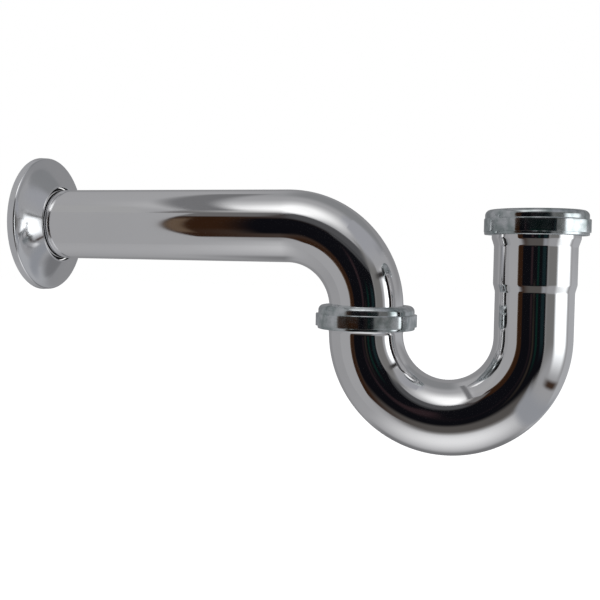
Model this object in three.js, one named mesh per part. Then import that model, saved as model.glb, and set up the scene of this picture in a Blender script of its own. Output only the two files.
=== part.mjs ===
// A chrome tubular P trap: wall bend, J bend, two slip nuts with their washers and rings, and a wall flange.
//
// Frame, in millimetres: the origin is the centre of the wall tube in the plane of the wall.
// +X runs out of the wall along the tube, and +Z is up.
// Both legs of the trap are upright and lie in the plane y = 0.

import * as THREE from 'three';
import { mergeVertices } from 'three/addons/utils/BufferGeometryUtils.js';

// ---- driving dimensions ----

const TUBE_R = 19.05; // 1-1/2 inch tube, outer radius
const TUBE_WALL = 1.15; // 17 gauge
const UNION_X = 187; // wall to the upright axis of the union
const WALL_BEND_R = 42.4; // centreline radius of the wall bend
const TRAP_BEND_R = 41.8; // centreline radius of the U
const TRAP_CENTRE_Z = -54.1; // height of the U's centre of curvature

const NUT_CORNER_R = 26.05; // eight round corners
const NUT_FLAT_R = 25.15; // centre to flat
const NUT_CAP_R = 24.75; // round cap above the flats
const NUT_HEIGHT = 12.2;
const NUT_BAND = 1.4; // height of the round band below the flats
const NUT_BAND_R = 25;
const NUT_FLAT_TOP = 7.7; // top of the flats
const NUT_SHOULDER = 2.8; // rounding of the cap
const NUT_CAP_WALL = 1.7;
const NUT_HOLE_R = 19.5; // hole in the cap, for the tube
const NUT_COUNTERBORE_R = 23.35; // room above the thread
const UNION_NUT_Z = -52.5; // bottom faces of the nuts
const INLET_NUT_Z = -3.6;
const UNION_NUT_TURN = -76.6; // direction of one corner, in degrees
const INLET_NUT_TURN = -85.3 + 22.5; // direction of one corner, in degrees

const THREAD_PITCH = 25.4 / 11.5; // 11.5 threads per inch
const THREAD_R = 22.5; // mean radius of the external thread
const THREAD_DEPTH = 0.8; // crest to root
const ROOT_R = THREAD_R - THREAD_DEPTH / 2;
const THREAD_PLAY = 0.4; // radial play of the nut's thread
const THREAD_LOW = 1.5; // external thread, above the nut's bottom face
const THREAD_HIGH = 4.7;
const RIM_HEIGHT = 5.2; // rim of the J bend, above the nut's bottom face

const SOCKET_R = 20.05; // expanded upper half of the inlet leg
const SOCKET_BORE_R = 19.2; // takes a 1-1/2 inch tailpiece
const SOCKET_FOOT_Z = -31.8; // the shoulder between tube and socket
const SOCKET_SHOULDER = 3.6; // length of the cone below the socket
const INLET_NECK_R = 21.3; // plain neck between the inlet's thread and its flare
const INLET_NECK_LENGTH = 1.8;
const INLET_FLARE_LENGTH = 4.8;
const OUTLET_FLARE_LENGTH = 4.8;
const MOUTH_R = 21.1; // bore of both threaded ends
const MOUTH_TAPER = 7.6; // length over which the inlet's bore narrows to the socket

const LIP_R = 22.1; // turned-out lip of the wall bend, and the rings around it
const LIP_LOW = 7.6; // heights above the nut's bottom face
const LIP_HIGH = 9.1;
const RING_LOW = 9.4;
const RING_HIGH = 10.2;
const RING_BORE_R = 19.4;
const WASHER_LOW = 5.5;
const UNION_WASHER_HIGH = 7.3;
const UNION_WASHER_BORE_R = 18.2;
const INLET_WASHER_HIGH = 9.1;
const INLET_WASHER_NOSE = 2.3; // how far the nose reaches down into the mouth
const INLET_WASHER_BORE_R = 19.25;

const FLANGE_R = 37.0; // at the wall
const FLANGE_EDGE_R = 36.8; // front edge of the rim band
const FLANGE_BAND = 3.6; // depth of the rim band
const FLANGE_DEPTH = 11.8; // wall to the front of the collar
const FLANGE_COLLAR_R = 21.4;
const FLANGE_SHEET = 0.9;
const FLANGE_CURVE = 1.4; // power of the curve that the bell rises along
const FLANGE_HOLE_LENGTH = 2.3; // depth of the straight hole inside the collar
const GRIP_BORE_R = 19.35;
const GRIP_OUTER_R = 20.2;
const GRIP_BACK = 5.6;
const GRIP_FRONT = 9.2;

const TUBE_SEGMENTS = 32;
const NUT_SEGMENTS = 48; // 30 degree flats and 15 degree corners fall on whole segments
const FLANGE_SEGMENTS = 40;

const INLET_X = UNION_X + 2 * TRAP_BEND_R;
const BORE_R = TUBE_R - TUBE_WALL;
const UP = new THREE.Vector3(0, 1, 0);

// ---- shaping tools ----

// Turns a closed loop of [radius, height] points about +Z.
// The reshape function then moves each vertex in place.
function turned(profile, segments, reshape = () => {}) {
  const loop = [...profile, profile[0]].map(([radius, height]) => new THREE.Vector2(radius, height));
  const geometry = new THREE.LatheGeometry(loop, segments);
  geometry.rotateX(Math.PI / 2);
  geometry.deleteAttribute('normal');
  geometry.deleteAttribute('uv');
  const position = geometry.attributes.position;
  const point = new THREE.Vector3();
  for (let i = 0; i < position.count; i += 1) {
    reshape(point.fromBufferAttribute(position, i));
    position.setXYZ(i, point.x, point.y, point.z);
  }
  return facingOut(mergeVertices(geometry, 1e-3));
}

// Turns the triangles over if their signed volume says that they face inwards.
function facingOut(geometry) {
  const index = geometry.index.array;
  const corners = [new THREE.Vector3(), new THREE.Vector3(), new THREE.Vector3()];
  let volume = 0;
  for (let i = 0; i < index.length; i += 3) {
    corners.forEach((corner, k) => corner.fromBufferAttribute(geometry.attributes.position, index[i + k]));
    volume += corners[0].dot(corners[1].cross(corners[2])) / 6;
  }
  if (volume < 0) {
    for (let i = 0; i < index.length; i += 3) [index[i], index[i + 1]] = [index[i + 1], index[i]];
  }
  geometry.computeVertexNormals();
  return geometry;
}

// Evenly spaced values from a to b, both ends included.
function steps(a, b, count) {
  return Array.from({ length: count + 1 }, (_, i) => a + ((b - a) * i) / count);
}

// Height of the thread's surface above its mean radius, at a point around an upright axis. The helix is
// right-handed, and it is the same one for a nut and for the end that it screws on.
function threadWave(axisX, x, y, z) {
  const turn = Math.atan2(y, x - axisX);
  return (THREAD_DEPTH / 2) * Math.cos((2 * Math.PI * z) / THREAD_PITCH - turn);
}

// A centreline in the plane y = 0: a straight run, then one round bend. It returns where the centreline is,
// and which way it heads, at a length s from its start.
function centreline(startX, startZ, headingDegrees, run, bendR, turnDegrees) {
  const heading = THREE.MathUtils.degToRad(headingDegrees);
  const turn = THREE.MathUtils.degToRad(turnDegrees);
  const side = Math.sign(turn);
  const bendLength = bendR * Math.abs(turn);
  const along = (angle) => new THREE.Vector3(Math.cos(angle), 0, Math.sin(angle));
  const across = (angle) => new THREE.Vector3(-Math.sin(angle), 0, Math.cos(angle));
  const start = new THREE.Vector3(startX, 0, startZ);
  const bendStart = start.clone().addScaledVector(along(heading), run);
  const bendCentre = bendStart.clone().addScaledVector(across(heading), side * bendR);
  return {
    run,
    bendLength,
    at(s) {
      const bent = THREE.MathUtils.clamp((s - run) / bendR, 0, Math.abs(turn));
      const angle = heading + side * bent;
      const direction = along(angle);
      const beyond = s < run ? s - run : Math.max(0, s - run - bendLength);
      const point = bendCentre.clone().addScaledVector(across(angle), -side * bendR);
      return { point: point.addScaledVector(direction, beyond), direction };
    },
  };
}

// Moves a vertex of a straight tube, which stands on its own axis, to its place around a centreline.
function bendAlong(path, vertex) {
  const { point, direction } = path.at(vertex.z);
  const inward = new THREE.Vector3().crossVectors(UP, direction);
  const placed = point.addScaledVector(inward, vertex.x).addScaledVector(UP, vertex.y);
  vertex.copy(placed);
}

// Lengths at which a bent tube needs a ring of vertices, from the start of the bend to its end.
function bendStops(path, count) {
  return steps(path.run, path.run + path.bendLength, count);
}

// ---- tubes ----

function wallBend() {
  const legLength = -(UNION_NUT_Z + LIP_LOW) - WALL_BEND_R;
  const path = centreline(0, 0, 0, UNION_X - WALL_BEND_R, WALL_BEND_R, -90);
  const end = path.run + path.bendLength + legLength;
  const lipTop = end - (LIP_HIGH - LIP_LOW);
  const stops = [0, path.run / 2, ...bendStops(path, 9)];
  const outside = [...stops.map((s) => [TUBE_R, s]), [TUBE_R, lipTop], [LIP_R, lipTop], [LIP_R, end]];
  const inside = [...stops, end].map((s) => [BORE_R, s]).reverse();
  return turned([...outside, ...inside], TUBE_SEGMENTS, (vertex) => bendAlong(path, vertex));
}

// The outside of a threaded end: the rim and the thread. Each point is [radius, distance from the rim].
function threadedEnd() {
  const threadFrom = RIM_HEIGHT - THREAD_HIGH;
  const threadTo = RIM_HEIGHT - THREAD_LOW;
  const thread = steps(threadFrom, threadTo, 6).map((s) => [THREAD_R, s]);
  return [[ROOT_R, 0], ...thread, [ROOT_R, threadTo + 0.4]];
}

// The outside of the outlet, which narrows to the tube in one curve that is steepest at the thread.
function outletEnd() {
  const flareFrom = RIM_HEIGHT - THREAD_LOW + 0.4;
  const flare = steps(0, 1, 6).map((t) => [
    TUBE_R + (ROOT_R - TUBE_R) * (1 - t) ** 4,
    flareFrom + OUTLET_FLARE_LENGTH * t,
  ]);
  return [...threadedEnd(), ...flare.slice(1)];
}

// The outside of the inlet: a plain neck below the thread, then a flare with rounded ends down to the socket.
function inletEnd() {
  const neckFrom = RIM_HEIGHT - THREAD_LOW + 0.9;
  const neckTo = neckFrom + INLET_NECK_LENGTH;
  const cone = steps(0, 1, 6).map((t) => [
    SOCKET_R + (INLET_NECK_R - SOCKET_R) * (0.5 + 0.5 * Math.cos(Math.PI * t)),
    neckTo + INLET_FLARE_LENGTH * t,
  ]);
  return [...threadedEnd(), [INLET_NECK_R, neckFrom], ...cone];
}

function jBend() {
  const outletRimZ = UNION_NUT_Z + RIM_HEIGHT;
  const inletRimZ = INLET_NUT_Z + RIM_HEIGHT;
  const path = centreline(UNION_X, outletRimZ, -90, outletRimZ - TRAP_CENTRE_Z, TRAP_BEND_R, 180);
  const end = path.run + path.bendLength + inletRimZ - TRAP_CENTRE_Z;
  const fromRim = ([radius, s]) => [radius, end - s];
  const outlet = outletEnd();
  const inlet = inletEnd().map(fromRim).reverse();
  const bend = bendStops(path, 16).filter((s) => s > outlet.at(-1)[1] + 1);
  const socketFoot = end - (inletRimZ - SOCKET_FOOT_Z);
  const socketStart = socketFoot + SOCKET_SHOULDER;
  const outside = [
    ...outlet,
    ...bend.map((s) => [TUBE_R, s]),
    [TUBE_R, socketFoot],
    [SOCKET_R, socketStart],
    ...inlet,
  ];
  const mouthDepth = RIM_HEIGHT - THREAD_LOW;
  const inside = [
    [MOUTH_R, 0],
    [MOUTH_R, mouthDepth],
    [BORE_R + 0.9, mouthDepth + 0.4 * OUTLET_FLARE_LENGTH],
    [BORE_R, mouthDepth + OUTLET_FLARE_LENGTH],
    ...bend.map((s) => [BORE_R, s]),
    [BORE_R, socketFoot],
    [SOCKET_BORE_R, socketStart],
    [SOCKET_BORE_R, end - mouthDepth - MOUTH_TAPER],
    [SOCKET_BORE_R + 0.75, end - mouthDepth - 0.4 * MOUTH_TAPER],
    [MOUTH_R, end - mouthDepth],
    [MOUTH_R, end],
  ].reverse();
  return turned([...outside, ...inside], TUBE_SEGMENTS, (vertex) => {
    const onThread = Math.abs(Math.hypot(vertex.x, vertex.y) - THREAD_R) < 0.01;
    bendAlong(path, vertex);
    if (onThread) swell(vertex);
  });
}

// Raises or lowers a vertex of a thread, away from its own upright axis.
function swell(vertex) {
  const axisX = vertex.x < UNION_X + TRAP_BEND_R ? UNION_X : INLET_X;
  const wave = threadWave(axisX, vertex.x, vertex.y, vertex.z);
  const radius = Math.hypot(vertex.x - axisX, vertex.y);
  vertex.x = axisX + ((vertex.x - axisX) * (radius + wave)) / radius;
  vertex.y = (vertex.y * (radius + wave)) / radius;
}

// ---- nuts ----

// Radius of the octagon with round corners, in a direction measured from one corner's middle.
function octagonR(angle) {
  const period = Math.PI / 4;
  const fromFlat = Math.abs((((angle % period) + period) % period) - period / 2);
  return Math.min(NUT_CORNER_R, NUT_FLAT_R / Math.cos(fromFlat));
}

function nut(axisX, bottomZ, turnDegrees) {
  const turn = THREE.MathUtils.degToRad(turnDegrees);
  const shoulderCentreR = NUT_CAP_R - NUT_SHOULDER;
  const shoulder = steps(0, Math.PI / 2, 4).map((a) => [
    shoulderCentreR + NUT_SHOULDER * Math.cos(a),
    NUT_HEIGHT - NUT_SHOULDER + NUT_SHOULDER * Math.sin(a),
  ]);
  const femaleR = THREAD_R + THREAD_PLAY;
  const thread = steps(0.7, 6.2, 10).map((h) => [femaleR, h]);
  const profile = [
    [femaleR + THREAD_DEPTH / 2, 0],
    [NUT_BAND_R, 0],
    [NUT_BAND_R, NUT_BAND],
    [NUT_CORNER_R, NUT_BAND],
    [NUT_CORNER_R, NUT_FLAT_TOP],
    [NUT_CAP_R, NUT_FLAT_TOP],
    ...shoulder,
    [NUT_HOLE_R, NUT_HEIGHT],
    [NUT_HOLE_R, NUT_HEIGHT - NUT_CAP_WALL],
    [NUT_COUNTERBORE_R, NUT_HEIGHT - NUT_CAP_WALL],
    [NUT_COUNTERBORE_R, 6.6],
    ...thread.reverse(),
  ];
  const geometry = turned(profile, NUT_SEGMENTS, (vertex) => {
    const radius = Math.hypot(vertex.x, vertex.y);
    const angle = Math.atan2(vertex.y, vertex.x);
    let newR = radius;
    if (Math.abs(radius - NUT_CORNER_R) < 0.01) newR = octagonR(angle);
    if (Math.abs(radius - femaleR) < 0.01) {
      const worldAngle = angle + turn;
      newR = radius + threadWave(0, Math.cos(worldAngle), Math.sin(worldAngle), vertex.z + bottomZ);
    }
    vertex.x *= newR / radius;
    vertex.y *= newR / radius;
  });
  geometry.rotateZ(turn);
  geometry.translate(axisX, 0, bottomZ);
  return geometry;
}

// ---- washers and rings ----

function ring(axisX, bottomZ, profile) {
  const geometry = turned(profile, TUBE_SEGMENTS);
  geometry.translate(axisX, 0, bottomZ);
  return geometry;
}

// The loop of a flat ring, between two radii and two heights.
function flatRing(boreR, outerR, low, high) {
  return [
    [boreR, low],
    [outerR, low],
    [outerR, high],
    [boreR, high],
  ];
}

function frictionRing(axisX, nutZ) {
  return ring(axisX, nutZ, flatRing(RING_BORE_R, LIP_R, RING_LOW, RING_HIGH));
}

function inletWasher() {
  const noseR = MOUTH_R - 0.4;
  return ring(INLET_X, INLET_NUT_Z, [
    [INLET_WASHER_BORE_R, WASHER_LOW - INLET_WASHER_NOSE],
    [noseR - 0.5, WASHER_LOW - INLET_WASHER_NOSE],
    [noseR, WASHER_LOW],
    [LIP_R, WASHER_LOW],
    [LIP_R, INLET_WASHER_HIGH],
    [INLET_WASHER_BORE_R, INLET_WASHER_HIGH],
  ]);
}

// ---- wall flange ----

// Points of the bell from the rim to the collar, moved back by the thickness of the sheet.
function bell(sheet, last) {
  const bellR = FLANGE_EDGE_R - 1;
  const faceX = FLANGE_BAND + 0.6;
  const run = bellR - FLANGE_COLLAR_R;
  const rise = FLANGE_DEPTH - FLANGE_SHEET / 2 - faceX;
  return steps(0, last, 8).map((t) => {
    const slope = Math.atan((rise / run) * FLANGE_CURVE * t ** (FLANGE_CURVE - 1));
    return [
      bellR - run * t - sheet * Math.sin(slope),
      faceX + rise * t ** FLANGE_CURVE - sheet * Math.cos(slope),
    ];
  });
}

// A pressed sheet: a rim band against the wall, then a concave bell that rises to the collar.
// The edge of the collar is turned in, so that its hole is straight.
function wallFlange() {
  const holeR = FLANGE_COLLAR_R - FLANGE_SHEET;
  const front = [[FLANGE_R, 0], [FLANGE_EDGE_R, FLANGE_BAND], ...bell(0, 1)];
  const collar = [
    [FLANGE_COLLAR_R - 0.2, FLANGE_DEPTH - 0.1],
    [FLANGE_COLLAR_R - 0.45, FLANGE_DEPTH],
    [holeR + 0.2, FLANGE_DEPTH - 0.1],
    [holeR, FLANGE_DEPTH - 0.45],
    [holeR, FLANGE_DEPTH - FLANGE_HOLE_LENGTH],
  ];
  const back = [
    ...bell(FLANGE_SHEET, 0.9).reverse(),
    [FLANGE_EDGE_R - FLANGE_SHEET, FLANGE_BAND - FLANGE_SHEET],
    [FLANGE_R - FLANGE_SHEET, 0],
  ];
  const geometry = turned([...front, ...collar, ...back], FLANGE_SEGMENTS);
  geometry.rotateY(Math.PI / 2);
  return geometry;
}

// The ring behind the collar that grips the wall tube.
function gripRing() {
  const loop = flatRing(GRIP_BORE_R, GRIP_OUTER_R, GRIP_BACK, GRIP_FRONT);
  const geometry = turned(loop, FLANGE_SEGMENTS);
  geometry.rotateY(Math.PI / 2);
  return geometry;
}

// ---- the assembly ----

const chrome = { color: 0xc9cacc, roughness: 0.06, metalness: 1 };
const zinc = { color: 0xa9b0af, roughness: 0.22, metalness: 1 };
const rubber = { color: 0x2a2a2a, roughness: 0.8, metalness: 0 };
const fibre = { color: 0xb98a5a, roughness: 0.7, metalness: 0 };

const trap = new THREE.Group();

function add(name, geometry, finish) {
  const mesh = new THREE.Mesh(geometry, new THREE.MeshStandardMaterial(finish));
  mesh.name = name;
  trap.add(mesh);
}

add('wall_bend', wallBend(), chrome);
add('j_bend', jBend(), chrome);
add('union_nut', nut(UNION_X, UNION_NUT_Z, UNION_NUT_TURN), zinc);
add('inlet_nut', nut(INLET_X, INLET_NUT_Z, INLET_NUT_TURN), zinc);
add('union_washer', ring(UNION_X, UNION_NUT_Z,
  flatRing(UNION_WASHER_BORE_R, LIP_R, WASHER_LOW, UNION_WASHER_HIGH)), rubber);
add('inlet_washer', inletWasher(), rubber);
add('union_friction_ring', frictionRing(UNION_X, UNION_NUT_Z), fibre);
add('inlet_friction_ring', frictionRing(INLET_X, INLET_NUT_Z), fibre);
add('wall_flange', wallFlange(), chrome);
add('flange_grip_ring', gripRing(), rubber);

export default trap;
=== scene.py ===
"""The looks of a chrome tubular P trap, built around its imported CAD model.

Everything is in metres in the frame of the CAD model: the origin is the centre of the wall tube in the
plane of the wall, +X runs out of the wall along the tube and +Z is up. Each piece is a fine mesh turned from
a profile, and the two tubes are then bent along the same centrelines as their CAD nodes.
"""

import math

import bpy
import numpy as np
from mathutils import Matrix, Vector


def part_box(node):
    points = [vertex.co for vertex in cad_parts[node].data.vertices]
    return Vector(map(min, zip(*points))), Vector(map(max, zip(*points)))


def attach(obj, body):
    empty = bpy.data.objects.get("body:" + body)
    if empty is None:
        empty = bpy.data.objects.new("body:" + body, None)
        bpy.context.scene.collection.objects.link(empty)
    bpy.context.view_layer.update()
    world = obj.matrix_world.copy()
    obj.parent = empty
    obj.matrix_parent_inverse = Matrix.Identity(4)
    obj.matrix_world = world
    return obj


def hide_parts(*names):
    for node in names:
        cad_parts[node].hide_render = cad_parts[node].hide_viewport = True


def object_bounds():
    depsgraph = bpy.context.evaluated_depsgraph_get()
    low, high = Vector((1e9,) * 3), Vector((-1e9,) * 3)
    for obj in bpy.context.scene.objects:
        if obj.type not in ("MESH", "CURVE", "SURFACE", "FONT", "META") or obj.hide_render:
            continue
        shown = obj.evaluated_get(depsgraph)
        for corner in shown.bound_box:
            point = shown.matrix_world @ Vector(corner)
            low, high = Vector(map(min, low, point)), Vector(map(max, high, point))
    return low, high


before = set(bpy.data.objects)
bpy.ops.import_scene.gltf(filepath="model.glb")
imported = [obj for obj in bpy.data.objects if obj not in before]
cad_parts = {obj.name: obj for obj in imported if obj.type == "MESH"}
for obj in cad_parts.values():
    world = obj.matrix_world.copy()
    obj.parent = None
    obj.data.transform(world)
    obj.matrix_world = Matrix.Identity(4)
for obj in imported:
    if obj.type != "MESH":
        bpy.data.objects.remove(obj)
cad_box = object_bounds()

MM = 0.001


# ---- sizes ----

def centre_of(node):
    low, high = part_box(node)
    return (low + high) / 2


def height_of(node):
    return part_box(node)[0].z


UNION_X = centre_of("union_nut").x
INLET_X = centre_of("inlet_nut").x
UNION_NUT_Z = height_of("union_nut")
INLET_NUT_Z = height_of("inlet_nut")
TUBE_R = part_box("wall_bend")[1].z
LIP_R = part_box("union_washer")[1].y
FLANGE_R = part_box("wall_flange")[1].z
FLANGE_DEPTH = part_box("wall_flange")[1].x
TUBE_WALL = 1.15 * MM
TRAP_BEND_R = (INLET_X - UNION_X) / 2
TRAP_CENTRE_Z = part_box("j_bend")[0].z + TRAP_BEND_R + TUBE_R
WALL_BEND_R = 42.4 * MM
BORE_R = TUBE_R - TUBE_WALL
TUBE_EDGE = 0.25 * MM

# Both nuts are the same. Heights, here and down to the washers, are above a nut's bottom face.
NUT_CORNER_R = 26.05 * MM
NUT_FLAT_R = 25.15 * MM
NUT_CAP_R = 24.75 * MM
NUT_HEIGHT = 12.2 * MM
NUT_BAND = 1.4 * MM
NUT_BAND_R = 25.0 * MM
NUT_FLAT_TOP = 7.7 * MM
NUT_SHOULDER = 2.8 * MM
NUT_CAP_WALL = 1.7 * MM
NUT_HOLE_R = 19.5 * MM
NUT_COUNTERBORE_R = 23.35 * MM
NUT_THREAD_LOW = 0.6 * MM
NUT_THREAD_HIGH = 6.3 * MM
NUT_THREAD_FADE = 0.4 * MM
NUT_EDGE = 0.22 * MM
NUT_CORNER_BLEND = 0.2 * MM
UNION_NUT_TURN = math.radians(-76.6)
INLET_NUT_TURN = math.radians(-85.3 + 22.5)

THREAD_PITCH = 25.4 * MM / 11.5
THREAD_R = 22.5 * MM  # mean radius
THREAD_DEPTH = 0.8 * MM
THREAD_PLAY = 0.45 * MM  # between the two threads, which are in step
THREAD_LOW = 1.5 * MM
THREAD_HIGH = 4.7 * MM
THREAD_FADE = 0.5 * MM
RIM_HEIGHT = 5.2 * MM
MALE_LOW = RIM_HEIGHT - THREAD_HIGH  # this and the next are distances from the J bend's rim
MALE_HIGH = RIM_HEIGHT - THREAD_LOW
THREAD_ROOT_R = THREAD_R - THREAD_DEPTH / 2
FLARE_START = MALE_HIGH + 0.3 * MM

SOCKET_R = 20.05 * MM
SOCKET_BORE_R = 19.2 * MM
SOCKET_FOOT_Z = -31.8 * MM  # in the frame, not above the nut
SOCKET_SHOULDER = 4.6 * MM
INLET_NECK_R = 21.3 * MM
INLET_NECK = 2.4 * MM
INLET_FLARE = 4.8 * MM
OUTLET_FLARE = 4.8 * MM
MOUTH_R = 21.1 * MM

LIP_LOW = 7.6 * MM
LIP_HIGH = 9.1 * MM
LIP_FILLET = 0.5 * MM
RING_LOW = 9.4 * MM
RING_HIGH = 10.2 * MM
RING_BORE_R = 19.4 * MM
WASHER_LOW = 5.5 * MM
UNION_WASHER_HIGH = 7.3 * MM
UNION_WASHER_BORE_R = 18.2 * MM
INLET_WASHER_HIGH = 9.1 * MM
INLET_WASHER_NOSE = 2.3 * MM
INLET_WASHER_BORE_R = 19.25 * MM

FLANGE_EDGE_R = FLANGE_R - 0.2 * MM
FLANGE_BAND = 3.6 * MM
FLANGE_ROUND = 1 * MM
FLANGE_COLLAR_R = 21.4 * MM
FLANGE_SHEET = 0.9 * MM
FLANGE_CURVE = 1.4  # power of the curve that the bell rises along
FLANGE_HOLE_LENGTH = 2.3 * MM
GRIP_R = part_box("flange_grip_ring")[1].z
GRIP_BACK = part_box("flange_grip_ring")[0].x
GRIP_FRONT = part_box("flange_grip_ring")[1].x

ROUND = 192  # segments around every turned piece
BEND_STEP = 1.2 * MM  # between the rings of a bend
SHARP_DEGREES = 32


# ---- profiles: a closed loop of runs, each run a list of (radius, length) points with one finish ----

def arc(centre, radius, start_degrees, end_degrees, count=8):
    angles = np.radians(np.linspace(start_degrees, end_degrees, count + 1))
    return [(centre[0] + radius * math.cos(a), centre[1] + radius * math.sin(a)) for a in angles]


def line(start, end, count=1):
    return [tuple(p) for p in np.linspace(start, end, count + 1)]


def rounded(points, radius, count=5):
    """The closed outline through the points, with each corner rounded by the radius."""
    outline = []
    total = len(points)
    for i in range(total):
        corner = np.array(points[i], float)
        before = np.array(points[i - 1], float) - corner
        after = np.array(points[(i + 1) % total], float) - corner
        reach = min(radius, 0.45 * np.linalg.norm(before), 0.45 * np.linalg.norm(after))
        start = corner + before / np.linalg.norm(before) * reach
        end = corner + after / np.linalg.norm(after) * reach
        for t in np.linspace(0, 1, count + 1):
            outline.append(tuple((1 - t) ** 2 * start + 2 * t * (1 - t) * corner + t * t * end))
    return outline


# ---- centrelines in the plane y = 0 ----

class Centreline:
    """A straight run, one round bend, and then straight on."""

    def __init__(self, start, heading_degrees, run, bend_r, turn_degrees):
        self.start = np.array(start, float)
        self.heading = math.radians(heading_degrees)
        self.run = run
        self.bend_r = bend_r
        self.turn = math.radians(turn_degrees)
        self.bend_length = bend_r * abs(self.turn)

    def at(self, s):
        """Points and unit directions, as (x, z) pairs, at the lengths in the array s."""
        side = math.copysign(1, self.turn)
        bent = np.clip((s - self.run) / self.bend_r, 0, abs(self.turn))
        angle = self.heading + side * bent
        direction = np.stack([np.cos(angle), np.sin(angle)], -1)
        across = np.stack([-np.sin(angle), np.cos(angle)], -1)
        first = np.array([math.cos(self.heading), math.sin(self.heading)])
        first_across = np.array([-first[1], first[0]])
        bend_centre = self.start + first * self.run + first_across * side * self.bend_r
        beyond = np.where(s < self.run, s - self.run, np.maximum(0, s - self.run - self.bend_length))
        point = bend_centre - across * side * self.bend_r + direction * beyond[..., None]
        return point, direction


def thread_wave(angle, z):
    """Height of a right-handed thread above its mean radius, a little flattened at crest and root."""
    wave = np.cos(2 * math.pi * z / THREAD_PITCH - angle)
    return THREAD_DEPTH / 2 * np.tanh(1.6 * wave) / math.tanh(1.6)


# ---- meshes ----

def grid_mesh(name, points, finishes, materials):
    """A closed mesh from a grid of points that joins up both ways, with one material name per row."""
    rows, columns = points.shape[:2]
    index = np.arange(rows * columns).reshape(rows, columns)
    right = np.roll(index, -1, axis=1)
    above, above_right = np.roll(index, -1, axis=0), np.roll(right, -1, axis=0)
    quads = np.stack([index, right, above_right, above], -1).reshape(-1, 4)
    flat = points.reshape(-1, 3)
    corners = flat[quads]
    area = np.cross(corners[:, 2] - corners[:, 0], corners[:, 3] - corners[:, 1]) / 2
    if (corners.mean(1) * area).sum() < 0:
        quads = quads[:, ::-1]
    mesh = bpy.data.meshes.new(name)
    mesh.from_pydata(flat.tolist(), [], quads.tolist())
    names = list(dict.fromkeys(finishes))
    for finish in names:
        mesh.materials.append(materials[finish])
    slots = np.repeat([names.index(finish) for finish in finishes], columns)
    mesh.polygons.foreach_set("material_index", slots.astype(np.int32))
    mesh.shade_smooth()
    mesh.set_sharp_from_angle(angle=math.radians(SHARP_DEGREES))
    mesh.update()
    piece = bpy.data.objects.new(name, mesh)
    bpy.context.scene.collection.objects.link(piece)
    return piece


def turned_piece(name, runs, materials, place):
    """Turns the runs of a closed profile. place(radius, angle, length, run) gives the points of one run."""
    angle = np.linspace(0, 2 * math.pi, ROUND, endpoint=False)
    rows, finishes = [], []
    for number, (finish, profile) in enumerate(runs):
        for radius, length in profile:
            rows.append(place(radius, angle, length, number))
            finishes.append(finish)
    return grid_mesh(name, np.array(rows), finishes, materials)


def around_z(axis_x, bottom_z):
    """Places a profile about an upright axis, with its lengths measured up from bottom_z."""
    def place(radius, angle, length, run):
        x = axis_x + radius * np.cos(angle)
        return np.stack([x, radius * np.sin(angle), np.full_like(angle, bottom_z + length)], -1)
    return place


def along(path, threaded_runs):
    """Places a profile around a centreline; threaded_runs gives a run's share of the full thread height."""
    def place(radius, angle, length, run):
        s = np.full_like(angle, length)
        point, direction = path.at(s)
        inward = np.stack([direction[:, 1], -direction[:, 0]], -1)
        x = point[:, 0] + radius * np.cos(angle) * inward[:, 0]
        z = point[:, 1] + radius * np.cos(angle) * inward[:, 1]
        y = radius * np.sin(angle)
        if run in threaded_runs:
            axis_x = UNION_X if length < path.run else INLET_X
            around = np.arctan2(y, x - axis_x)
            swollen = radius + thread_wave(around, z) * threaded_runs[run](length)
            x = axis_x + swollen * np.cos(around)
            y = swollen * np.sin(around)
        return np.stack([x, y, z], -1)
    return place


# ---- materials ----

def new_material(name):
    material = bpy.data.materials.new(name)
    material.use_nodes = True
    tree = material.node_tree
    shader = tree.nodes["Principled BSDF"]
    return material, tree, shader


def object_noise(tree, scale, detail):
    """A noise measured on the piece itself."""
    coords = tree.nodes.new("ShaderNodeTexCoord")
    noise = tree.nodes.new("ShaderNodeTexNoise")
    noise.inputs["Scale"].default_value = scale
    noise.inputs["Detail"].default_value = detail
    tree.links.new(coords.outputs["Object"], noise.inputs["Vector"])
    return noise


def link_noise(tree, target, scale, low, high, detail=3):
    """Feeds a socket with a noise between two values."""
    noise = object_noise(tree, scale, detail)
    spread = tree.nodes.new("ShaderNodeMapRange")
    spread.inputs["From Min"].default_value = 0.3
    spread.inputs["From Max"].default_value = 0.7
    spread.inputs["To Min"].default_value = low
    spread.inputs["To Max"].default_value = high
    tree.links.new(noise.outputs[0], spread.inputs["Value"])
    tree.links.new(spread.outputs[0], target)


def add_bump(tree, shader, scale, distance, detail=2):
    """Fine waves in the surface, up to the given distance high."""
    noise = object_noise(tree, scale, detail)
    bump = tree.nodes.new("ShaderNodeBump")
    bump.inputs["Strength"].default_value = 1
    bump.inputs["Distance"].default_value = distance
    tree.links.new(noise.outputs[0], bump.inputs["Height"])
    tree.links.new(bump.outputs["Normal"], shader.inputs["Normal"])


def tinted(tree, shader, scale, first, second, detail=4):
    """Base colour that drifts between two tints."""
    noise = object_noise(tree, scale, detail)
    ramp = tree.nodes.new("ShaderNodeValToRGB")
    ramp.color_ramp.elements[0].position = 0.35
    ramp.color_ramp.elements[0].color = (*first, 1)
    ramp.color_ramp.elements[1].position = 0.65
    ramp.color_ramp.elements[1].color = (*second, 1)
    tree.links.new(noise.outputs[0], ramp.inputs["Fac"])
    tree.links.new(ramp.outputs["Color"], shader.inputs["Base Color"])


def metal(name, tints, roughness, scales, bump):
    """The scales are those of the tint, of the roughness and of the fine waves."""
    material, tree, shader = new_material(name)
    shader.inputs["Metallic"].default_value = 1
    tinted(tree, shader, scales[0], *tints)
    link_noise(tree, shader.inputs["Roughness"], scales[1], *roughness)
    add_bump(tree, shader, scales[2], bump)
    return material


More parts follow.
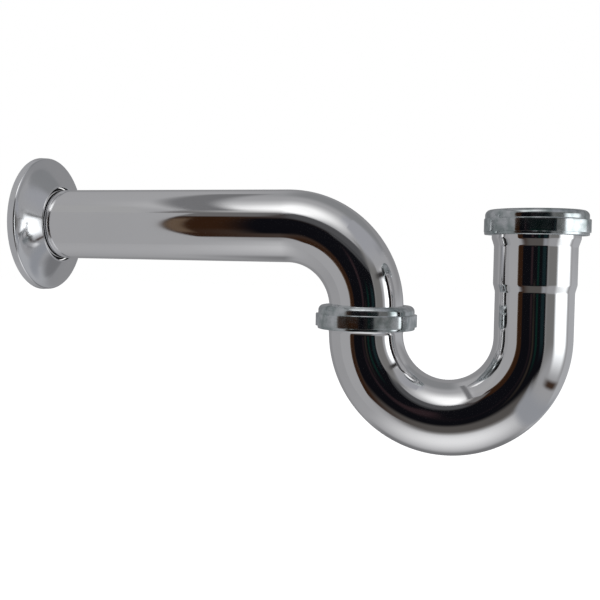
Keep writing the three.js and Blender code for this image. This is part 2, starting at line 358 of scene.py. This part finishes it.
def dull(name, tints, roughness, scale, bump):
    """A material that isn't a metal, with its roughness and waves finer than its tint."""
    material, tree, shader = new_material(name)
    tinted(tree, shader, scale, *tints)
    link_noise(tree, shader.inputs["Roughness"], scale * 2, *roughness)
    add_bump(tree, shader, scale * 4, bump)
    return material


CHROME_TINTS = ((0.93, 0.93, 0.935), (0.96, 0.96, 0.965))
SATIN_TINTS = ((0.90, 0.91, 0.93), (0.95, 0.955, 0.965))
ZINC_TINTS = ((0.42, 0.48, 0.48), (0.78, 0.81, 0.83))
BRASS_TINTS = ((0.50, 0.40, 0.24), (0.66, 0.56, 0.36))
RUBBER_TINTS = ((0.012, 0.012, 0.013), (0.03, 0.03, 0.031))
FIBRE_TINTS = ((0.42, 0.27, 0.14), (0.60, 0.42, 0.24))

MATERIALS = {
    "chrome": metal("chrome", CHROME_TINTS, (0.025, 0.07), (18, 35, 22), 0.02 * MM),
    "satin": metal("satin_chrome", SATIN_TINTS, (0.08, 0.16), (30, 60, 40), 0.02 * MM),
    "zinc": metal("plated_zinc", ZINC_TINTS, (0.07, 0.23), (200, 150, 300), 0.02 * MM),
    "brass": metal("brass_bore", BRASS_TINTS, (0.30, 0.50), (60, 90, 300), 0.03 * MM),
    "rubber": dull("rubber", RUBBER_TINTS, (0.55, 0.8), 120, 0.05 * MM),
    "fibre": dull("fibre", FIBRE_TINTS, (0.6, 0.85), 300, 0.05 * MM),
}


# ---- the wall bend ----

def spaced(start, end, pitch):
    """Lengths from start to end, no further apart than the pitch."""
    return np.linspace(start, end, max(2, int(math.ceil(abs(end - start) / pitch)) + 1))


def wall_bend():
    leg = -(UNION_NUT_Z + LIP_LOW) - WALL_BEND_R
    path = Centreline((0, 0), 0, UNION_X - WALL_BEND_R, WALL_BEND_R, -90)
    bend_end = path.run + path.bend_length
    end = bend_end + leg
    lip_top = end - (LIP_HIGH - LIP_LOW)
    edge = TUBE_EDGE
    fillet = LIP_FILLET
    quarter = np.linspace(0, math.pi / 2, 5)
    stops = list(spaced(edge, path.run, 6 * MM)) + list(spaced(path.run, bend_end, BEND_STEP))[1:]
    outside = [(TUBE_R - edge, 0.0)] + arc((TUBE_R - edge, edge), edge, 270, 360, 3)[1:-1]
    outside += [(TUBE_R, s) for s in stops]
    outside += [(TUBE_R + fillet - fillet * math.cos(a), lip_top - fillet + fillet * math.sin(a))
                for a in quarter]
    outside += [(LIP_R - fillet + fillet * math.sin(a), lip_top + fillet - fillet * math.cos(a))
                for a in quarter]
    outside += [(LIP_R, end - edge), (LIP_R - edge, end)]
    inside = [(BORE_R + edge, end), (BORE_R, end - edge)]
    inside += [(BORE_R, s) for s in reversed(stops[1:])] + [(BORE_R, edge), (BORE_R + edge, 0.0)]
    runs = [("chrome", outside), ("brass", inside)]
    return turned_piece("wall_bend_skin", runs, MATERIALS, along(path, {}))


# ---- the J bend: lengths run from the rim of the outlet, along the centreline, to the rim of the inlet ----

def ease(t):
    """A straight ramp from 0 to 1 with short rounded ends."""
    end = 0.2
    if t < end:
        return t * t / (2 * end * (1 - end))
    if t > 1 - end:
        return 1 - (1 - t) ** 2 / (2 * end * (1 - end))
    return (t - end / 2) / (1 - end)


def blended(start_r, end_r, start, length, shares, curve):
    """Points that go from one radius to another over a length, along a curve from 0 to 1."""
    return [(start_r + (end_r - start_r) * curve(t), start + length * t) for t in shares]


def threaded_end():
    """Rim chamfer and thread of a threaded end, as two runs of (radius, distance from the rim)."""
    rim = [(MOUTH_R + 0.25 * MM, 0.0), (THREAD_ROOT_R - 0.3 * MM, 0.0)]
    rim += [(THREAD_ROOT_R - 0.05 * MM, 0.12 * MM)]
    thread = [(THREAD_R, s) for s in np.linspace(MALE_LOW, MALE_HIGH, 41)]
    return rim, thread


def inlet_flare():
    """Neck and flare below the inlet's thread, as points of (radius, distance from the rim)."""
    points = [(THREAD_ROOT_R, FLARE_START), (INLET_NECK_R, MALE_HIGH + 0.8 * MM)]
    return points + blended(INLET_NECK_R, SOCKET_R, FLARE_START + INLET_NECK, INLET_FLARE,
                            np.linspace(0, 1, 30), ease)


def j_bend_outside(path, end, socket_foot):
    """The outside between the two threads."""
    bend_end = path.run + path.bend_length
    points = blended(TUBE_R, THREAD_ROOT_R, FLARE_START, OUTLET_FLARE, np.linspace(0, 1, 40),
                     lambda t: (1 - t) ** 4)
    points += [(TUBE_R, s) for s in spaced(points[-1][1], bend_end, BEND_STEP)[1:]]
    points += [(TUBE_R, s) for s in spaced(bend_end, socket_foot, 3 * MM)[1:]]
    points += blended(TUBE_R, SOCKET_R, socket_foot, SOCKET_SHOULDER, np.linspace(0, 1, 13)[1:], ease)
    flare = [(radius, end - s) for radius, s in reversed(inlet_flare())]
    points += [(SOCKET_R, s) for s in spaced(socket_foot + SOCKET_SHOULDER, flare[0][1], 3 * MM)[1:-1]]
    return points + flare


def j_bend_bore(path, end, socket_foot):
    """The inside, from the outlet's mouth to the inlet's."""
    bend_end = path.run + path.bend_length
    inlet_flare_length = INLET_NECK + INLET_FLARE
    points = [(MOUTH_R, 0.25 * MM), (MOUTH_R, MALE_HIGH - 0.3 * MM)]
    points += blended(BORE_R, MOUTH_R, MALE_HIGH, OUTLET_FLARE, np.linspace(0, 1, 20)[:-1],
                      lambda t: (1 - t) ** 3)
    points += [(BORE_R, s) for s in spaced(MALE_HIGH + OUTLET_FLARE, bend_end, BEND_STEP)]
    points += [(BORE_R, socket_foot)]
    points += blended(BORE_R, SOCKET_BORE_R, socket_foot, SOCKET_SHOULDER, np.linspace(0, 1, 13)[1:], ease)
    points += blended(SOCKET_BORE_R, MOUTH_R, end - MALE_HIGH - inlet_flare_length, inlet_flare_length,
                      np.linspace(0, 1, 20), lambda t: t ** 1.6)
    return points + [(MOUTH_R, end - 0.25 * MM)]


def j_bend():
    outlet_rim = UNION_NUT_Z + RIM_HEIGHT
    inlet_rim = INLET_NUT_Z + RIM_HEIGHT
    path = Centreline((UNION_X, outlet_rim), -90, outlet_rim - TRAP_CENTRE_Z, TRAP_BEND_R, 180)
    end = path.run + path.bend_length + inlet_rim - TRAP_CENTRE_Z
    socket_foot = end - (inlet_rim - SOCKET_FOOT_Z)
    rim, thread = threaded_end()

    def flip(points):
        return [(radius, end - s) for radius, s in reversed(points)]

    def fade(length):
        from_rim = min(length, end - length)
        return max(0.0, min(1.0, (from_rim - MALE_LOW) / THREAD_FADE, (MALE_HIGH - from_rim) / THREAD_FADE))

    runs = [
        ("chrome", rim),
        ("chrome", thread),
        ("chrome", j_bend_outside(path, end, socket_foot)),
        ("chrome", flip(thread)),
        ("chrome", flip(rim)),
        ("brass", list(reversed(j_bend_bore(path, end, socket_foot)))),
    ]
    return turned_piece("j_bend_skin", runs, MATERIALS, along(path, {1: fade, 3: fade}))


# ---- the nuts ----

def octagon_r(angle):
    """Radius of the octagon with round corners, in directions measured from the middle of one corner."""
    period = math.pi / 4
    from_flat = np.abs(np.mod(angle, period) - period / 2)
    past_flat = NUT_FLAT_R / np.cos(from_flat) - NUT_FLAT_R
    past_corner = NUT_CORNER_R - NUT_FLAT_R
    both = np.exp(-past_flat / NUT_CORNER_BLEND) + np.exp(-past_corner / NUT_CORNER_BLEND)
    return NUT_FLAT_R - NUT_CORNER_BLEND * np.log(both)


def nut_bottom(female_r):
    """Bottom face and the round band above it."""
    corner_r = NUT_BAND_R - 0.35 * MM
    points = [(female_r + THREAD_DEPTH / 2 + 0.2 * MM, 0.0), (corner_r, 0.0)]
    points += arc((corner_r, 0.35 * MM), 0.3 * MM, 290, 356, 4)
    return points + [(NUT_BAND_R, h) for h in np.linspace(0.5 * MM, NUT_BAND - 0.12 * MM, 3)]


def nut_sides():
    """The eight flats, as points of (depth below the octagon, height)."""
    edge = NUT_EDGE
    points = [(0.5 * edge, NUT_BAND), (0.12 * edge, NUT_BAND + 0.12 * edge)]
    points += [(0.0, h) for h in np.linspace(NUT_BAND + 0.5 * edge, NUT_FLAT_TOP - edge, 8)]
    return points + [(0.3 * edge, NUT_FLAT_TOP - 0.3 * edge), (edge, NUT_FLAT_TOP)]


def nut_cap():
    """The domed cap above the flats, and inside it the hole and the counterbore."""
    shoulder_z = NUT_HEIGHT - NUT_SHOULDER
    counterbore = NUT_HEIGHT - NUT_CAP_WALL
    points = [(NUT_CAP_R + 0.25 * MM, NUT_FLAT_TOP + 0.02 * MM), (NUT_CAP_R, NUT_FLAT_TOP + 0.3 * MM)]
    points += line((NUT_CAP_R, NUT_FLAT_TOP + 0.5 * MM), (NUT_CAP_R, shoulder_z - 0.1 * MM), 2)
    points += arc((NUT_CAP_R - NUT_SHOULDER, shoulder_z), NUT_SHOULDER, 0, 90, 16)
    points += [(NUT_HOLE_R + 0.45 * MM, NUT_HEIGHT), (NUT_HOLE_R + 0.12 * MM, NUT_HEIGHT - 0.12 * MM)]
    points += [(NUT_HOLE_R, NUT_HEIGHT - 0.45 * MM), (NUT_HOLE_R, counterbore)]
    points += [(NUT_COUNTERBORE_R - 0.4 * MM, counterbore), (NUT_COUNTERBORE_R, counterbore - 0.4 * MM)]
    return points + [(NUT_COUNTERBORE_R, NUT_THREAD_HIGH + 0.4 * MM)]


def nut(name, axis_x, bottom_z, turn):
    female_r = THREAD_R + THREAD_PLAY
    thread = [(female_r, h) for h in np.linspace(NUT_THREAD_HIGH, NUT_THREAD_LOW, 70)]
    runs = [("zinc", nut_bottom(female_r)), ("zinc", nut_sides()), ("zinc", nut_cap()), ("zinc", thread)]
    sides_run, thread_run = 1, 3

    def fade(h):
        from_ends = min(h - NUT_THREAD_LOW, NUT_THREAD_HIGH - h)
        return max(0.0, min(1.0, from_ends / NUT_THREAD_FADE))

    def place(radius, angle, h, run):
        z = np.full_like(angle, bottom_z + h)
        if run == sides_run:
            radius = octagon_r(angle) - radius
        if run == thread_run:
            radius = radius + thread_wave(angle + turn, z) * fade(h)
        x = axis_x + radius * np.cos(angle + turn)
        return np.stack([x, radius * np.sin(angle + turn), z], -1)

    return turned_piece(name, runs, MATERIALS, place)


# ---- washers and rings ----

def ring(name, axis_x, bottom_z, finish, corners, edge):
    return turned_piece(name, [(finish, rounded(corners, edge))], MATERIALS, around_z(axis_x, bottom_z))


def flat_ring(bore_r, outer_r, low, high):
    return [(bore_r, low), (outer_r, low), (outer_r, high), (bore_r, high)]


# ---- the wall flange ----

def bell(sheet, last, count=48):
    """Points of the bell from the rim to the collar, moved back by the thickness of the sheet."""
    bell_r = FLANGE_EDGE_R - FLANGE_ROUND
    face_x = FLANGE_BAND + 0.6 * MM
    run = bell_r - FLANGE_COLLAR_R
    rise = FLANGE_DEPTH - FLANGE_SHEET / 2 - face_x
    points = []
    for t in np.linspace(0, last, count + 1):
        slope = math.atan(rise / run * FLANGE_CURVE * t ** (FLANGE_CURVE - 1))
        radius = bell_r - run * t - sheet * math.sin(slope)
        points.append((radius, face_x + rise * t ** FLANGE_CURVE - sheet * math.cos(slope)))
    return points


def around_x(radius, angle, length, run):
    return np.stack([np.full_like(angle, length), radius * np.cos(angle), radius * np.sin(angle)], -1)


def wall_flange():
    hole_r = FLANGE_COLLAR_R - FLANGE_SHEET
    half = FLANGE_SHEET / 2
    rim = line((FLANGE_R, 0.15 * MM), (FLANGE_EDGE_R, FLANGE_BAND - 0.45 * MM), 4)
    rim += arc((FLANGE_EDGE_R - FLANGE_ROUND, FLANGE_BAND - 0.4 * MM), FLANGE_ROUND, 4, 86, 10)
    lip = arc((FLANGE_COLLAR_R - half, FLANGE_DEPTH - half), half, 20, 180, 12)
    lip += [(hole_r, FLANGE_DEPTH - FLANGE_HOLE_LENGTH + 0.1 * MM)]
    back = [(hole_r + 0.1 * MM, FLANGE_DEPTH - FLANGE_HOLE_LENGTH)]
    back += bell(FLANGE_SHEET, 0.9)[::-1]
    back += [(FLANGE_EDGE_R - FLANGE_SHEET, FLANGE_BAND - FLANGE_SHEET)]
    back += [(FLANGE_R - FLANGE_SHEET, 0.15 * MM), (FLANGE_R - FLANGE_SHEET + 0.15 * MM, 0.0)]
    runs = [("satin", [(FLANGE_R - 0.15 * MM, 0.0)] + rim + bell(0, 1)[1:] + lip + back)]
    return turned_piece("wall_flange_skin", runs, MATERIALS, around_x)


def grip_ring():
    loop = rounded(flat_ring(TUBE_R + 0.05 * MM, GRIP_R, GRIP_BACK, GRIP_FRONT), 0.25 * MM)
    return turned_piece("flange_grip_ring_skin", [("rubber", loop)], MATERIALS, around_x)


# ---- assembly ----

INLET_NOSE_R = MOUTH_R - 0.4 * MM
INLET_WASHER = [
    (INLET_WASHER_BORE_R, WASHER_LOW - INLET_WASHER_NOSE),
    (INLET_NOSE_R - 0.5 * MM, WASHER_LOW - INLET_WASHER_NOSE),
    (INLET_NOSE_R, WASHER_LOW),
    (LIP_R, WASHER_LOW),
    (LIP_R, INLET_WASHER_HIGH),
    (INLET_WASHER_BORE_R, INLET_WASHER_HIGH),
]
FRICTION_RING = flat_ring(RING_BORE_R, LIP_R, RING_LOW, RING_HIGH)
UNION_WASHER = flat_ring(UNION_WASHER_BORE_R, LIP_R, WASHER_LOW, UNION_WASHER_HIGH)

PIECES = [
    (wall_bend(), "wall_bend", "wall_bend", "chrome_tube"),
    (j_bend(), "j_bend", "j_bend", "chrome_tube"),
    (nut("union_nut_skin", UNION_X, UNION_NUT_Z, UNION_NUT_TURN), "union_nut", "union_nut", "plated_zinc"),
    (nut("inlet_nut_skin", INLET_X, INLET_NUT_Z, INLET_NUT_TURN), "inlet_nut", "inlet_nut", "plated_zinc"),
    (ring("union_washer_skin", UNION_X, UNION_NUT_Z, "rubber", UNION_WASHER, 0.35 * MM),
     "union_washer", "j_bend", "rubber"),
    (ring("inlet_washer_skin", INLET_X, INLET_NUT_Z, "rubber", INLET_WASHER, 0.35 * MM),
     "inlet_washer", "j_bend", "rubber"),
    (ring("union_friction_ring_skin", UNION_X, UNION_NUT_Z, "fibre", FRICTION_RING, 0.12 * MM),
     "union_friction_ring", "union_ring", "friction_ring"),
    (ring("inlet_friction_ring_skin", INLET_X, INLET_NUT_Z, "fibre", FRICTION_RING, 0.12 * MM),
     "inlet_friction_ring", "inlet_ring", "friction_ring"),
    (wall_flange(), "wall_flange", "wall_flange", "chrome_flange"),
    (grip_ring(), "flange_grip_ring", "wall_flange", "rubber"),
]

for piece, node, body, slot in PIECES:
    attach(piece, body)
    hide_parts(node)


# ---- camera ----

CAMERA_PLACE = (0.27675, -0.45399, -0.01662)
CAMERA_YAW = 0.2693  # radians to the left of straight ahead, +Y
CAMERA_PITCH = 0.047  # radians down
CAMERA_ROLL = 0.018
CAMERA_LENS = 53.8  # millimetres, on a sensor 36 wide


def add_camera():
    data = bpy.data.cameras.new("camera")
    camera = bpy.data.objects.new("camera", data)
    bpy.context.scene.collection.objects.link(camera)
    bpy.context.scene.camera = camera
    data.sensor_width = 36
    data.lens = CAMERA_LENS
    data.clip_start = 0.01
    data.clip_end = 20
    ahead = Vector((-math.sin(CAMERA_YAW), math.cos(CAMERA_YAW), 0))
    right = Vector((math.cos(CAMERA_YAW), math.sin(CAMERA_YAW), 0))
    up = Vector((0, 0, 1))
    forward = ahead * math.cos(CAMERA_PITCH) - up * math.sin(CAMERA_PITCH)
    top = up * math.cos(CAMERA_PITCH) + ahead * math.sin(CAMERA_PITCH)
    rolled_right = right * math.cos(CAMERA_ROLL) + top * math.sin(CAMERA_ROLL)
    rolled_top = top * math.cos(CAMERA_ROLL) - right * math.sin(CAMERA_ROLL)
    place = Matrix((rolled_right, rolled_top, -forward)).transposed().to_4x4()
    place.translation = Vector(CAMERA_PLACE)
    camera.matrix_world = place


add_camera()
bpy.context.scene.view_settings.view_transform = "Standard"


# ---- studio: pale surroundings, a pale floor, and cards that only the reflections see ----

def srgb(*levels):
    """Linear colour of three screen levels from 0 to 255."""
    scaled = [value / 255 for value in levels]
    return tuple(c / 12.92 if c <= 0.04045 else ((c + 0.055) / 1.055) ** 2.4 for c in scaled)


def math_node(tree, operation, *values):
    """A math node with its inputs linked, or set when they are plain numbers."""
    node = tree.nodes.new("ShaderNodeMath")
    node.operation = operation
    for socket, value in zip(node.inputs, values):
        if isinstance(value, (int, float)):
            socket.default_value = value
        else:
            tree.links.new(value, socket)
    return node.outputs[0]


def edge_mask(tree, position, share):
    """1 across the middle of a side and 0 at its two ends, with a smooth fall over the given share."""
    from_middle = math_node(tree, "ABSOLUTE", math_node(tree, "SUBTRACT", position, 0.5))
    fade = tree.nodes.new("ShaderNodeMapRange")
    fade.interpolation_type = "SMOOTHSTEP"
    fade.inputs["From Min"].default_value = 0.5 - share
    fade.inputs["From Max"].default_value = 0.5
    fade.inputs["To Min"].default_value = 1
    fade.inputs["To Max"].default_value = 0
    tree.links.new(from_middle, fade.inputs["Value"])
    return fade.outputs[0]


def card_material(name, colour, strength, soft):
    """A glow that fades out towards the card's sides, by one share for both or one for each."""
    material = bpy.data.materials.new(name)
    material.use_nodes = True
    tree = material.node_tree
    tree.nodes.clear()
    out = tree.nodes.new("ShaderNodeOutputMaterial")
    mix = tree.nodes.new("ShaderNodeMixShader")
    clear = tree.nodes.new("ShaderNodeBsdfTransparent")
    glow = tree.nodes.new("ShaderNodeEmission")
    glow.inputs["Color"].default_value = (*colour, 1)
    glow.inputs["Strength"].default_value = strength
    coords = tree.nodes.new("ShaderNodeUVMap")
    coords.uv_map = "sides"
    split = tree.nodes.new("ShaderNodeSeparateXYZ")
    tree.links.new(coords.outputs["UV"], split.inputs[0])
    across_share, up_share = soft if isinstance(soft, tuple) else (soft, soft)
    across_mask = edge_mask(tree, split.outputs["X"], across_share)
    up_mask = edge_mask(tree, split.outputs["Y"], up_share)
    tree.links.new(math_node(tree, "MULTIPLY", across_mask, up_mask), mix.inputs["Fac"])
    tree.links.new(clear.outputs[0], mix.inputs[1])
    tree.links.new(glow.outputs[0], mix.inputs[2])
    tree.links.new(mix.outputs[0], out.inputs["Surface"])
    return material


def emission_card(name, corner, across, up, colour, strength=1.0, soft=0.1):
    """A glowing rectangle from one corner along two sides, seen only in reflections."""
    corner, across, up = Vector(corner), Vector(across), Vector(up)
    mesh = bpy.data.meshes.new(name)
    mesh.from_pydata([corner, corner + across, corner + across + up, corner + up], [], [(0, 1, 2, 3)])
    uv = mesh.uv_layers.new(name="sides")
    for loop, place in zip(uv.data, ((0, 0), (1, 0), (1, 1), (0, 1))):
        loop.uv = place
    mesh.materials.append(card_material(name, colour, strength, soft))
    card = bpy.data.objects.new(name, mesh)
    card.visible_camera = False
    card.visible_shadow = False
    bpy.context.scene.collection.objects.link(card)


def front_card(name, x0, x1, z0, z1, y, colour, strength=1.0, soft=0.1):
    """An upright card across the view; a card behind the object is one too, at a positive y."""
    emission_card(name, (x0, y, z0), (x1 - x0, 0, 0), (0, 0, z1 - z0), colour, strength, soft)


def side_card(name, y0, y1, z0, z1, x, colour, strength=1.0, soft=0.1):
    """An upright card that faces along X."""
    emission_card(name, (x, y0, z0), (0, y1 - y0, 0), (0, 0, z1 - z0), colour, strength, soft)


def level_card(name, x0, x1, y0, y1, z, colour, strength=1.0, soft=0.1):
    """A card that lies level."""
    emission_card(name, (x0, y0, z), (x1 - x0, 0, 0), (0, y1 - y0, 0), colour, strength, soft)


WHITE = (1, 1, 1)
WINDOW_WHITE = (0.96, 0.985, 1)

# The pale wall in front on the left, which ends in a tan edge, and the dark room beyond it.
front_card("near_wall", -0.90, -0.048, -0.75, 0.24, -0.31, srgb(157, 157, 159), soft=(0.008, 0.02))
emission_card("near_wall_top", (-0.90, -0.311, 0.128), (0.852, 0, 0), (-0.208, 0, 0.512),
              srgb(160, 160, 161), soft=(0.03, 0.06))
front_card("tan_card", -0.051, -0.026, -0.168, 0.141, -0.309, srgb(94, 78, 64), soft=(0.35, 0.22))
front_card("brown_card", -0.75, 0.20, -0.52, 0.46, -0.60, srgb(46, 28, 17), soft=(0.05, 0.08))
front_card("dark_card", -0.077, 0.62, -0.30, 0.25, -0.50, srgb(12, 12, 16), soft=(0.07, 0.176))
front_card("plum_stripe", 0.17, 0.24, -0.14, 0.14, -0.485, srgb(42, 31, 34), soft=0.4)
front_card("umber_stripe", 0.235, 0.30, -0.20, -0.02, -0.485, srgb(40, 35, 31), soft=0.4)
front_card("teal_stripe", 0.31, 0.38, -0.18, 0.06, -0.485, srgb(12, 34, 30), soft=0.35)
front_card("slate_stripe", 0.42, 0.56, -0.18, 0.10, -0.485, srgb(20, 34, 37), soft=0.35)
front_card("upper_dark_card", -0.12, 0.85, 0.20, 0.50, -0.59, srgb(76, 76, 78), soft=(0.16, 0.17))
front_card("upper_left_dark", -0.285, -0.04, 0.27, 0.75, -0.595, srgb(104, 102, 102), soft=(0.2, 0.1))
front_card("right_grey_card", 0.50, 1.30, -0.35, 0.66, -0.52, srgb(112, 111, 110), soft=0.25)
front_card("lower_dark_card", -0.20, 0.80, -0.75, -0.08, -0.58, srgb(80, 77, 75), soft=(0.35, 0.23))

# The lights overhead, and what hangs between them.
emission_card("top_softbox", (-0.24, -0.66, 0.42), (0.56, 0.05, 0.0), (0.0, 0.38, 0.34), WHITE, 1.55, 0.5)
level_card("top_glow", -0.28, 0.60, -0.66, 0.0, 0.52, WHITE, soft=0.5)
emission_card("top_left_dark", (-0.211, -0.52, 0.50), (0.109, 0, 0), (0.09, 0.79, 0),
              srgb(112, 112, 114), soft=(0.35, 0.06))

# The bright window on the right, its dark upper and lower edges, and the wall around it.
side_card("right_softbox", -0.12, 0.060, -0.165, 0.12, 0.45, WINDOW_WHITE, 1.7, (0.28, 0.45))
side_card("right_upper_edge", -0.26, 0.12, 0.056, 0.096, 0.448, srgb(52, 50, 50), soft=0.4)
side_card("right_lower_edge", -0.16, 0.12, -0.188, -0.152, 0.448, srgb(58, 44, 36), soft=0.4)
side_card("right_top_grey", -0.34, 0.24, 0.09, 0.80, 0.46, srgb(151, 152, 157), soft=0.25)
side_card("right_low_grey", -0.60, 0.60, -0.40, -0.20, 0.46, srgb(142, 144, 149), soft=(0.25, 0.35))

# The wall behind, the ceiling and the floor as the reflections see them.
front_card("back_right_card", 0.26, 1.60, -0.80, 0.10, 0.60, srgb(166, 167, 170), soft=0.2)
level_card("ceiling", -0.14, 1.10, 0.0, 1.10, 0.54, srgb(128, 129, 131), soft=0.2)
front_card("back_card", -1.20, 1.30, -0.80, 0.80, 0.70, srgb(138, 138, 140), soft=0.25)
level_card("floor_glow", -0.12, 0.60, -0.46, 0.17, -0.40, srgb(226, 226, 227), soft=0.48)
level_card("floor_back_dark", -0.13, 0.50, 0.09, 0.75, -0.41, srgb(116, 116, 118), soft=0.25)

LAMP_PLACE = (0.15, -0.35, 0.95)
LAMP_TILT = math.radians(20)
LAMP_WIDTH = 1.2
LAMP_DEPTH = 0.8
LAMP_WATTS = 6
FLOOR_GAP = 0.12  # below the lowest point of the object
FLOOR_HALF = 6
FLOOR_TONE = 0.9
FLOOR_GLOW = 0.75


def add_lamp():
    """A soft lamp for the dull pieces; the metal doesn't mirror it."""
    data = bpy.data.lights.new("soft_lamp", "AREA")
    data.shape = "RECTANGLE"
    data.size = LAMP_WIDTH
    data.size_y = LAMP_DEPTH
    data.energy = LAMP_WATTS
    lamp = bpy.data.objects.new("soft_lamp", data)
    lamp.location = LAMP_PLACE
    lamp.rotation_euler = (LAMP_TILT, 0, 0)
    lamp.visible_glossy = False
    lamp.visible_camera = False
    bpy.context.scene.collection.objects.link(lamp)


def add_floor():
    """A pale floor below the object, glowing a little and left out of reflections."""
    z = cad_box[0].z - FLOOR_GAP
    corners = [(-FLOOR_HALF, -FLOOR_HALF, z), (FLOOR_HALF, -FLOOR_HALF, z)]
    corners += [(FLOOR_HALF, FLOOR_HALF, z), (-FLOOR_HALF, FLOOR_HALF, z)]
    mesh = bpy.data.meshes.new("floor")
    mesh.from_pydata(corners, [], [(0, 1, 2, 3)])
    material, _tree, shader = new_material("floor")
    shader.inputs["Base Color"].default_value = (FLOOR_TONE, FLOOR_TONE, FLOOR_TONE, 1)
    shader.inputs["Roughness"].default_value = 0.9
    shader.inputs["Emission Color"].default_value = (1, 1, 1, 1)
    shader.inputs["Emission Strength"].default_value = FLOOR_GLOW
    mesh.materials.append(material)
    floor = bpy.data.objects.new("floor", mesh)
    floor.visible_glossy = False
    bpy.context.scene.collection.objects.link(floor)


add_lamp()
add_floor()

# Grey tones of the surroundings, from straight down to straight up.
WORLD_TONES = [(0.0, 168), (0.15, 154), (0.3, 148), (0.5, 152), (0.75, 156), (1.0, 160)]


def make_world():
    """Grey surroundings for reflections and light, pale behind the object."""
    world = bpy.data.worlds.new("world")
    bpy.context.scene.world = world
    world.use_nodes = True
    tree = world.node_tree
    grey = tree.nodes["Background"]
    pale = tree.nodes.new("ShaderNodeBackground")
    pale.inputs["Color"].default_value = (1, 1, 1, 1)
    mix = tree.nodes.new("ShaderNodeMixShader")
    rays = tree.nodes.new("ShaderNodeLightPath")
    coords = tree.nodes.new("ShaderNodeTexCoord")
    split = tree.nodes.new("ShaderNodeSeparateXYZ")
    ramp = tree.nodes.new("ShaderNodeValToRGB")
    height = tree.nodes.new("ShaderNodeMapRange")
    height.inputs["From Min"].default_value = -1
    height.inputs["From Max"].default_value = 1
    tree.links.new(coords.outputs["Generated"], split.inputs[0])
    tree.links.new(split.outputs["Z"], height.inputs["Value"])
    tree.links.new(height.outputs[0], ramp.inputs["Fac"])
    elements = ramp.color_ramp.elements
    while len(elements) < len(WORLD_TONES):
        elements.new(0.5)
    for element, (position, tone) in zip(elements, WORLD_TONES):
        element.position = position
        element.color = (*srgb(tone, tone, tone + 2), 1)
    tree.links.new(ramp.outputs["Color"], grey.inputs["Color"])
    tree.links.new(rays.outputs["Is Camera Ray"], mix.inputs["Fac"])
    tree.links.new(grey.outputs[0], mix.inputs[1])
    tree.links.new(pale.outputs[0], mix.inputs[2])
    tree.links.new(mix.outputs[0], tree.nodes["World Output"].inputs["Surface"])


make_world()
